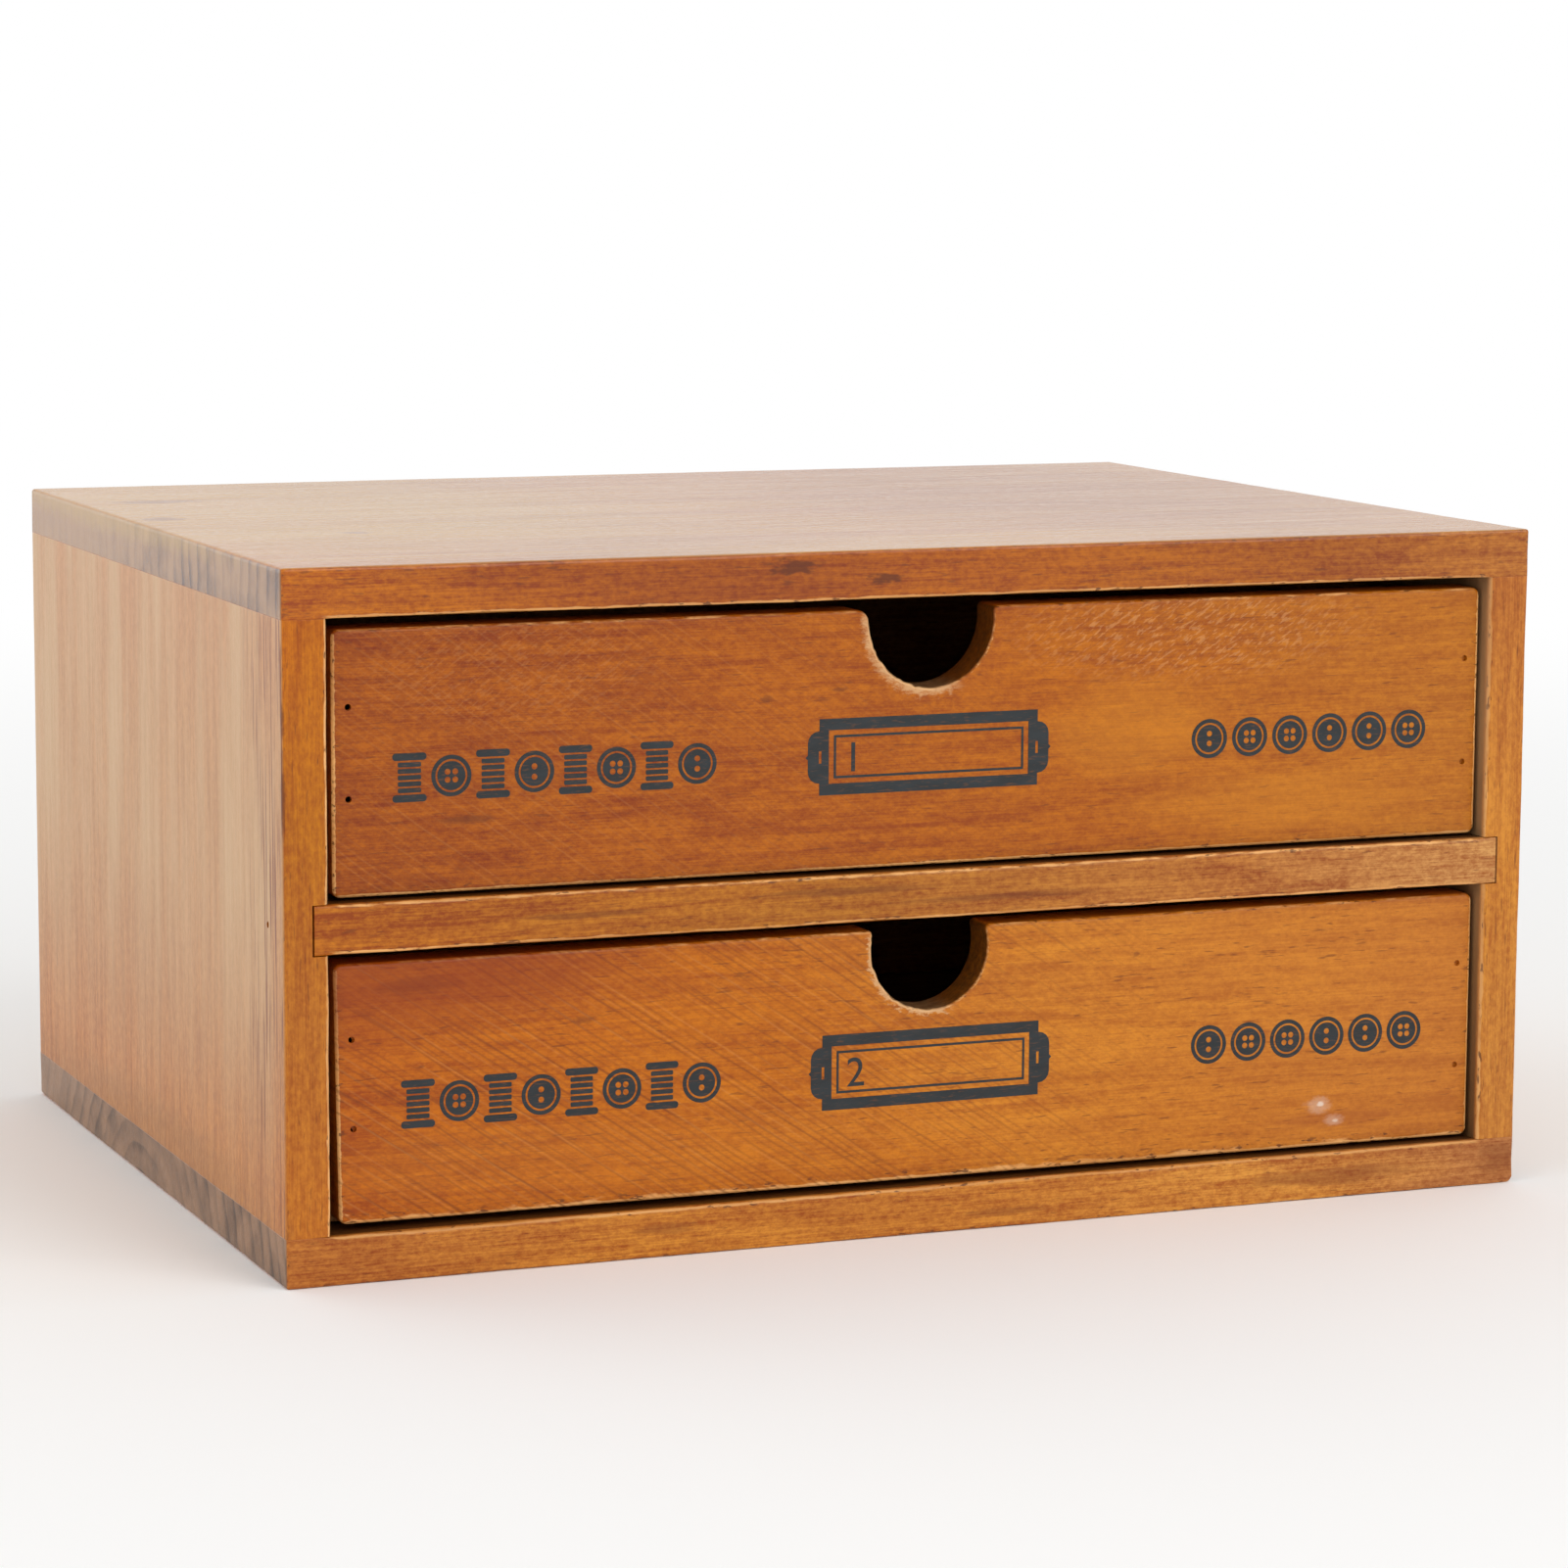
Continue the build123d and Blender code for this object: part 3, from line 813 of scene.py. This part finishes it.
# %% Cutting the notch and the holes
def cut_notch(piece, low, high, name):
    """Drills the finger notch and rounds its upper corners, each as far as it has worn."""
    radius = notch_radius[name]
    drop = notch_drop[name]
    centre = Vector((notch_place[name], low.y - 2 * mm, high.z - drop))
    cut(piece, start_rod("hole_saw", centre, (0, 1, 0), radius, 16 * mm, 96))
    for side, rounding in zip((-1, 1), notch_lip[name]):
        rise = drop - rounding
        reach = math.sqrt((radius + rounding) ** 2 - rise ** 2)
        heel = centre + Vector((side * reach, 0, rise))
        first, last = sorted((centre.x, heel.x))
        touch = centre.z + rise * radius / (radius + rounding)
        cutter = start_block("corner_cutter", (first, low.y - mm, touch), (last, high.y + mm, high.z + mm))
        cut(cutter, start_rod("rounding", heel, (0, 1, 0), rounding, 16 * mm, 32))
        cut(piece, cutter)
    edit(piece, "FACE", "SELECT")
    bpy.ops.mesh.remove_doubles(threshold=0.12 * mm)
    bpy.ops.object.mode_set(mode="OBJECT")


def cut_back(piece, low, high, name):
    """The nail holes, and the groove for the drawer floor in the inner face."""
    for side, heights in nail_height.items():
        for height in heights:
            start = (side * (high.x - nail_in), low.y - mm, low.z + height)
            cut(piece, start_rod("hole_cutter", start, (0, 1, 0), nail_radius, nail_sink + mm, 12))
    floor_low, floor_high = corners(name + "_drawer_floor")
    groove_low = floor_low - Vector((panel_slack, panel_slack, slot_slack))
    groove_high = Vector((floor_high.x + panel_slack, high.y + mm, floor_high.z + slot_slack))
    cut(piece, start_block("groove_cutter", groove_low, groove_high))


# %% One drawer front
def drawer_front(name):
    """The front of one drawer, ready for its edges to be worn."""
    low, high = corners(name + "_drawer_front")
    piece = start_block(name + "_front_pine", low, high)
    bevel_edges(piece, box_edges(low, high, 1), front_corner, 5)
    room = notch_radius[name] + notch_room
    room_floor = high.z - notch_drop[name] - room

    def clear_of_notch(face):
        middle = face.calc_center_median()
        return abs(middle.x) > room or middle.z < room_floor

    slice_rows(piece, 0, (-room, room))
    slice_rows(piece, 2, (room_floor,))
    for axis in (0, 2):
        slice_rows(piece, axis, row_places(low[axis], high[axis], 3.2 * mm, 4 * mm), clear_of_notch)
    cut_notch(piece, low, high, name)
    cut_back(piece, low, high, name)

    def sharp_on_face(edge):
        hole = min(edge.verts[0].co.x - low.x, high.x - edge.verts[0].co.x)
        by_hole = nail_in - 2 * nail_radius < hole < nail_in + 2 * nail_radius
        round_hole = by_hole and edge.calc_length() < 0.6 * mm
        corner = edge.calc_face_angle(0) > math.radians(60)
        return lies_at(edge, 1, low.y) and corner and not round_hole

    bevel_edges(piece, sharp_on_face, front_arris, 3)
    return piece, low, high


def wear_front(piece, low, high, name, seed):
    """Wears the rim of a drawer front, and tears the lip of its finger notch. Beside the side and lower
    rims the pale line reaches onto the flat face as a painted highlight.
    """
    worn = piece.data.attributes.new("wear_and_highlight", "FLOAT", "POINT")
    notch = Vector((notch_place[name], 0, high.z - notch_drop[name]))
    for vertex in piece.data.vertices:
        point = vertex.co.copy()
        depth_in = max(0, point.y - low.y)
        rim = max(0, min(point.x - low.x, high.x - point.x, point.z - low.z, high.z - point.z))
        spoke = Vector((point.x, 0, point.z)) - notch
        lip = abs(spoke.length - notch_radius[name])
        near_rim = max(0, 1 - math.hypot(rim, depth_in) / front_arris)
        near_lip = max(0, 1 - math.hypot(lip, depth_in) / front_arris)
        spared = high.z - point.z < front_arris or point.x > notch.x and near_lip
        rubbed = 1 if spared else 2.4
        # On the flat face beside the side and lower rims the pale line is painted highlight.
        on_face = depth_in < touching and high.z - point.z > 2 * mm
        beside = min(point.x - low.x, high.x - point.x) < front_arris + touching
        below = point.z - low.z < front_arris + touching
        spread = max(side_highlight * beside, low_highlight[name] * below) if on_face else 0
        worn.data[vertex.index].value = min(1, max(near_rim * rubbed, near_lip * rubbed, spread))
        broad = noise.noise((point + Vector((seed, 0, 0))) / (14 * mm))
        fine = noise.noise((point + Vector((0, seed, 0))) / (1.6 * mm))
        if near_rim > near_lip:
            vertex.co.y += near_rim * max(0, 0.5 + broad) * 0.3 * mm
        elif near_lip:
            tear = 0.9 if point.x < notch.x else 0.4
            vertex.co += spoke.normalized() * near_lip * (0.12 + tear * fine) * mm
        left_share = 0.5 - point.x / (high.x - low.x)
        low_share = 1 - (point.z - low.z) / (high.z - low.z)
        vertex.co.x += lean[name] * left_share * low_share
        vertex.co.x += right_growth * min(1, max(0, (point.x - 60 * mm) / (90 * mm)))
        vertex.co.z += lean[name] * left_share * low_share * 0.8


# %% Make the two fronts
front_span = (-152, 152)
# The tones run darker at the left and lighter at the right: partly the stain, partly painted shade at the
# left and painted light at the right.
upper_tones = {0: "#af5a00", 0.35: "#bc6600", 0.6: "#bf6a00", 1: "#c27515"}
lower_tones = {0: "#c46800", 0.3: "#ca7200", 0.6: "#d5851f", 1: "#c97a23"}
pine_upper = stained_pine(
    "stained pine, upper drawer front", "X", front_span, upper_tones, (40, 230),
    6.5, 6, (1.1, 0.7))
pine_lower = stained_pine(
    "stained pine, lower drawer front", "X", front_span, lower_tones, (60, -66),
    5.5, 7, (0.85, 0.55))
pine_fronts = {"upper": pine_upper, "lower": pine_lower}
for name, seed in (("upper", 0.3), ("lower", 0.9)):
    piece, low, high = drawer_front(name)
    wear_front(piece, low, high, name, seed)
    finish_board(piece, pine_fronts[name], name + "_drawer_front", name + "_drawer")


# %% [markdown]
# ## Saw marks, knocks and the notch wall
# The fronts carry fine slanting lines where a coarse disc or saw passed, strongest on the lower
# one. They are ruled lines, turned 34 to 40 degrees and bent a little, and stretched noise breaks
# them up, since no saw bites evenly. The pale lines among them are painted highlight. Where the
# blade jumped it left short dashes, each drawn with a painted highlight and a painted shadow. Then
# come dark specks in the grain, patches of darker and paler stain, two pale dings low at the right,
# and the brown wall of the finger notch, partly its end grain and partly painted shade.


# %% Saw marks
def saw_marks(material, turn, spacing, width, band, code, amount, shift):
    """Slanting lines, spacing and width in mm. band is where along the board they are full and gone."""
    tree = material.node_tree
    wood = along_fibres(tree, "X")
    slope = math.radians(turn)
    across = (math.sin(slope), 0, math.cos(slope))
    lines = add(tree, "VectorMath.DOT_PRODUCT", wood, across, out="Value")
    sway = streaks(tree, wood, 30, 30, 1, 0.5, shift, (0, 1), (-0.9, 0.9))
    lines = add(tree, "Math.ADD", lines, sway)
    lines = add(tree, "Math.PINGPONG", lines, spacing)
    lines = add(tree, "MapRange", lines, width, width * 0.3, 0, amount)
    comes = streaks(tree, wood, 2.4, 40, 2, 0.6, shift + 1, (0.4, 0.62), turn=slope)
    along = add(tree, "MapRange", add(tree, "SeparateXYZ", wood), *band, 1, 0)
    lay_over(material, code, lines, comes, along)


def chatter_marks(material, left, right, bottom, top, code, amount, shift):
    """Short dashes in a box, in mm, where the blade jumped over hard grain. A pale colour paints the
    highlight on these small dents, and a dark one their shadow.
    """
    tree = material.node_tree
    wood = along_fibres(tree, "X")
    slope = math.radians(-32)
    dashes = streaks(tree, wood, 0.85, 3.2, 2, 0.6, shift, (0.53, 0.6), (0, amount), slope)
    middle = ((left + right) / 2, drawer_face, (bottom + top) / 2)
    size = ((right - left) / 2, 9, (top - bottom) / 2)
    local = add(tree, "Mapping", wood, middle, (0, 0, 0), size, vector_type="TEXTURE")
    away = add(tree, "VectorMath.LENGTH", local, out="Value")
    lay_over(material, code, dashes, add(tree, "MapRange", away, 1.2, 0.6))


drawer_face = -119
# The third and the last lines here are pale: painted highlight along the saw marks.
for material, *mark in (
        (pine_upper, 36, 0.65, 0.35, (-50, 120), "#8a430f", 0.3, 11),
        (pine_upper, -40, 0.7, 0.35, (-80, 90), "#8a430f", 0.25, 15),
        (pine_upper, 36, 0.9, 0.35, (-70, 30), "#dc9a55", 0.1, 16),
        (pine_lower, 34, 0.75, 0.4, (-10, 90), "#7a390e", 0.4, 12),
        (pine_lower, 34, 2.3, 0.4, (-30, 70), "#74340c", 0.5, 13),
        (pine_lower, 34, 1.4, 0.35, (-40, 60), "#e2a45c", 0.14, 14)):
    saw_marks(material, *mark)
# At the upper right the dents get a painted shadow and a painted highlight; the faint pale dashes at the
# upper left are painted highlight.
for mark in (
        (24, 118, 135, 160, "#8a4515", 0.35, 42),
        (24, 118, 135, 160, "#e6ac70", 0.27, 41),
        (-144, -70, 130, 158, "#d89a5c", 0.12, 43)):
    chatter_marks(pine_upper, *mark)

# %% Specks, patches and dings
front_spots(
    pine_upper, drawer_face, "#6a3010", 0.6,
    (-43, 134.4, 2.2, 1.1, 0.6), (-24, 136, 2.6, 0.9, 0.6), (-119, 109, 9, 1.6, 0.6))
front_spots(pine_upper, drawer_face, "#da8a1c", 0.5, (56, 123, 30, 17, 0.3), (98, 103, 56, 10, 0.25))
front_spots(
    pine_lower, drawer_face, "#6a3010", 0.7,
    (-132, 70, 14, 3, 0.5), (-90, 59, 4, 1.2, 0.5), (57, 66, 1.2, 0.8, 0.5))
front_spots(pine_lower, drawer_face, "#8a3206", 0.4, (-150, 76, 100, 25, 0.62))
front_spots(pine_lower, drawer_face, "#de8e30", 0.4, (-90, 25, 80, 14, 0.13))
front_spots(pine_lower, drawer_face, "#98481a", 0.8, (116, 20, 26, 3, 0.35))
front_spots(
    pine_lower, drawer_face, "#eeddcc", 0.5,
    (109.5, 23.6, 4.6, 2.7, 0.24), (110, 24, 1.3, 0.9, 0.7),
    (114, 19.6, 3.6, 1.9, 0.22), (114.4, 19.3, 1.1, 0.6, 0.5))


# %% The wall of the finger notch
def notch_finish(material, name):
    """Darkens the drilled wall of a finger notch, partly its end grain and partly painted shade in the
    hollow, and pales the torn fibres at its left lip.
    """
    tree = material.node_tree
    low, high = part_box(name + "_drawer_front")
    wood = along_fibres(tree, "X")
    parts = add(tree, "SeparateXYZ", wood).node.outputs
    flat = add(tree, "CombineXYZ", parts[0], 0, parts[2])
    centre = (notch_place[name] / mm, 0, (high[2] - notch_drop[name]) / mm)
    radius = notch_radius[name] / mm
    away = add(tree, "VectorMath.DISTANCE", flat, centre, out="Value")
    ragged = streaks(tree, wood, 0.8, 1.6, 3, 0.7, 31, (0.3, 0.7), (-1.2, 1.2))
    torn = add(tree, "Math.ADD", away, ragged)
    torn = add(tree, "MapRange", torn, radius + torn_reach[name], radius + 0.6, 0, 0.8)
    slant = add(tree, "VectorMath.DOT_PRODUCT", wood, (0.7, 0, 0.7), out="Value")
    slant_centre = (centre[0] + centre[2]) * 0.7
    side = add(tree, "MapRange", slant, slant_centre - 5, slant_centre - 9)
    lay_over(material, "#d9ab78", torn, side)
    # The dark wall: partly end grain, partly painted shade inside the notch.
    near = add(tree, "MapRange", away, radius + 1, radius + 0.4)
    depth = add(tree, "MapRange", parts[1], low[1] / mm + 0.15, low[1] / mm + 0.7)
    wall_grain_and_shade = streaks(tree, wood, 1.2, 2.4, 2, 0.6, 33, (0.35, 0.65), (0.7, 0.95))
    lay_over(material, "#4a2910", near, depth, wall_grain_and_shade)


for name, material in pine_fronts.items():
    notch_finish(material, name)
    print(material.name, len(material.node_tree.nodes), "nodes")

# %% [markdown]
# ## Printed marks
# Each front carries a screen print in blue-grey ink: a label holder with the number of its
# drawer, spools and buttons at the left, and buttons at the right. Screen ink is a real layer a
# few hundredths of a millimetre thick, so the prints are thin pieces of their own. They are built
# like the boards, from primitives and cuts.

# %% Ink sizes
ink_gap = 0.01 * mm
ink_depth = 0.05 * mm


def upright_block(name, x, z, width, height, front, back):
    """A block centred on x and z, from front to back in depth."""
    low = (x - width / 2, front, z - height / 2)
    return start_block(name, low, (x + width / 2, back, z + height / 2))


def ink_bar(name, x, z, width, height, face, corner=0):
    """A printed bar. corner rounds its four corners."""
    bar = upright_block(name, x, z, width, height, face - ink_gap - ink_depth, face - ink_gap)
    if corner:
        bevel_edges(bar, lambda edge: runs_along(edge) == 1, corner, 4)
    return bar


def ink_disc(name, x, z, radius, face, sides=48, extra=0):
    """A printed disc. extra makes it thicker, for use as a cutter."""
    start = (x, face - ink_gap - ink_depth - extra, z)
    return start_rod(name, start, (0, 1, 0), radius, ink_depth + 2 * extra, sides)


def cut_bar(piece, x, z, width, height, face):
    """Cuts a window through a print."""
    cut(piece, upright_block("window_cutter", x, z, width, height, face - mm, face + mm))


def join(pieces, name):
    """Joins several prints into one piece."""
    only(pieces[0])
    for piece in pieces[1:]:
        piece.select_set(True)
    bpy.ops.object.join()
    pieces[0].name = name
    return pieces[0]


# %% [markdown]
# ## The ink
# Screen ink is matt and dense, but wood under it is never flat: on the raised grain the ink
# is thinner and the brown shows through. The same streaked noise as in the pine gives that.

# %% Screen ink
def screen_ink():
    """Matt blue-grey screen ink, with the grain showing through in fine streaks."""
    material, tree, shader = new_finish("blue-grey screen ink")
    wood = along_fibres(tree, "X")
    cloud = streaks(tree, wood, 2.5, 8, 2, 0.5, 2)
    colour = add(tree, "ValToRGB", cloud, stops={0.35: "#141a1d", 0.65: "#1e2529"})
    tree.links.new(colour, shader.inputs["Base Color"])
    lay_over(material, "#6a3f1c", streaks(tree, wood, 0.5, 3, 2, 0.6, 5, (0.56, 0.72), (0, 0.5)))
    shader.inputs["Roughness"].default_value = 0.55
    return material


# %% The label holder
def label_holder(name, x, z, face, numeral):
    """A printed card holder: a band with an ear at each end, a fine line, and a numeral."""
    band = ink_bar(name, x, z, 58.2 * mm, 18.7 * mm, face)
    for side in (-1, 1):
        ear = ink_bar("ear", x + side * 28.1 * mm, z, 8 * mm, 12.8 * mm, face, 2.9 * mm)
        cut(band, ear, "UNION")
        cut(band, ink_disc("point", x + side * 32 * mm, z, 0.7 * mm, face, 4), "UNION")
        cut_bar(band, x + side * 28.9 * mm, z, 0.7 * mm, 3 * mm, face)
    cut_bar(band, x, z, 53.2 * mm, 13.1 * mm, face)
    line = ink_bar("line", x, z, 50.6 * mm, 10.6 * mm, face)
    cut_bar(line, x, z, 49.4 * mm, 9.4 * mm, face)
    bpy.ops.object.text_add()
    figure = bpy.context.object
    figure.data.body = numeral
    figure.data.size = 10.4 * mm
    figure.data.extrude = ink_depth / 2
    figure.data.align_x = "CENTER"
    figure.rotation_euler = (math.radians(90), 0, 0)
    figure.location = (x - 20.2 * mm, face - ink_gap - ink_depth / 2, z - 3.75 * mm)
    bpy.ops.object.convert(target="MESH")
    bpy.ops.object.transform_apply()
    return join([band, line, figure], name)


# %% Button and spool motifs
def button_motif(x, z, radius, holes, face):
    """A printed button: a rim, an unprinted line, and a middle with two or four holes."""
    rim = ink_disc("rim", x, z, radius, face)
    cut(rim, ink_disc("cutter", x, z, radius * 0.80, face, 48, mm))
    middle = ink_disc("middle", x, z, radius * 0.70, face)
    reach = radius * (0.27 if holes == 4 else 0.25)
    for index in range(holes):
        angle = math.tau * (index + 0.5) / holes
        spot = (x + reach * math.cos(angle), z + reach * math.sin(angle))
        cut(middle, ink_disc("cutter", *spot, radius * 0.15, face, 16, mm))
    return [rim, middle]


def spool_motif(x, z, width, height, face):
    """A printed reel of thread: two flanges, and turns of thread between them."""
    flange = height * 0.15
    bars = [ink_bar("flange", x, z + side * (height - flange) / 2, width, flange, face, flange * 0.45)
            for side in (-1, 1)]
    turns = 5
    room = height - 2 * flange - 0.5 * mm
    for index in range(turns):
        level = z + room * ((index + 0.5) / turns - 0.5)
        bars.append(ink_bar("turn", x, level, width * 0.68, room / turns * 0.72, face, 0.3 * mm))
    return bars


def motif_row(name, ends, z, face, spools):
    """A row of motifs between two places along the front, in mm."""
    left, right = (place * mm for place in ends)
    button, reel, height = 9.9 * mm, 8.4 * mm, 11.6 * mm
    kinds = ["spool", "button"] * 4 if spools else ["button"] * 6
    widths = [reel if kind == "spool" else button for kind in kinds]
    gap = (right - left - sum(widths)) / (len(kinds) - 1)
    parts = []
    edge = left
    for index, (kind, width) in enumerate(zip(kinds, widths)):
        x = edge + width / 2
        if kind == "spool":
            parts += spool_motif(x, z, width, height, face)
        else:
            parts += button_motif(x, z, width / 2, 4 if index % 4 in (1, 2) else 2, face)
        edge += width + gap
    return join(parts, name)


# %% Print both fronts
ink = screen_ink()
for name, label, left_ends, right_ends, level, numeral in (
        ("upper", -0.1, (-137.3, -55.9), (71.5, 138), 119.6, "1"),
        ("lower", 1.2, (-135.6, -54.5), (72.8, 138.7), 41.6, "2")):
    face = corners(name + "_drawer_front")[0].y
    level *= mm
    for piece in (
            label_holder(name + "_label_print", label * mm, level, face, numeral),
            motif_row(name + "_left_print", left_ends, level, face, True),
            motif_row(name + "_right_print", right_ends, level, face, False)):
        piece.data.materials.clear()
        piece.data.materials.append(ink)
        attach(piece, name + "_drawer")
        print(piece.name, len(piece.data.polygons), "faces")

# %% [markdown]
# ## Pieces that hide inside
# The drawer sides, backs and floors, the back panel, and all nails and dowels keep their shape from
# the frame. They still show when a drawer is pulled out or the chest is turned round, so each
# gets its real finish: pine with less stain, rotary-cut plywood, beech and dull steel.

# %% Dull steel
def dull_steel():
    """Uncoated steel nails, dark with oil and age: a rough metal that only glints."""
    material, tree, shader = new_finish("dull steel")
    place = add(tree, "TexCoord", out="Object")
    spots = add(tree, "TexNoise", named={"Vector": place, "Scale": 900, "Detail": 2}, out="Fac")
    colour = add(tree, "ValToRGB", spots, stops={0.35: "#3a322d", 0.65: "#6a5f57"})
    tree.links.new(colour, shader.inputs["Base Color"])
    rough = add(tree, "MapRange", spots, 0.3, 0.7, 0.4, 0.65)
    tree.links.new(rough, shader.inputs["Roughness"])
    shader.inputs["Metallic"].default_value = 1
    return material


# %% Finishes for the inner pieces
wall_tones = {0: "#c08445", 0.5: "#c88e4e", 1: "#c3874a"}
wall_side = stained_pine(
    "lightly stained pine, drawer sides", "Y", (-110, 120), wall_tones, (60, 150),
    4, 9, (0.8, 0.8))
wall_back = stained_pine(
    "lightly stained pine, drawer backs", "X", (-150, 150), wall_tones, (60, 150),
    5, 10, (0.8, 0.8))
ply_tones = {0: "#cfa06a", 0.5: "#d2a671", 1: "#cc9c66"}
plywood = stained_pine(
    "rotary-cut plywood", "X", chest_span, ply_tones, (118, -900),
    14, 12, (0.6, 0.6))
beech_tones = {0: "#cfa376", 1: "#d6ac80"}
beech = stained_pine("beech dowel", "Z", side_span, beech_tones, (0, 0), 2, 14, (0.4, 0.4))
steel = dull_steel()
inner = {"back_panel": plywood, "corner_dowels": beech, "shelf_nails": steel, "back_panel_pins": steel}
for name in ("upper", "lower"):
    for part, material in (("left_side", wall_side), ("right_side", wall_side), ("back", wall_back),
                           ("floor", plywood), ("front_nails", steel), ("back_nails", steel),
                           ("floor_pins", steel)):
        inner[f"{name}_drawer_{part}"] = material
for node, material in inner.items():
    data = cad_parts[node].data
    data.materials.clear()
    data.materials.append(material)
print(len(inner), "inner pieces finished")
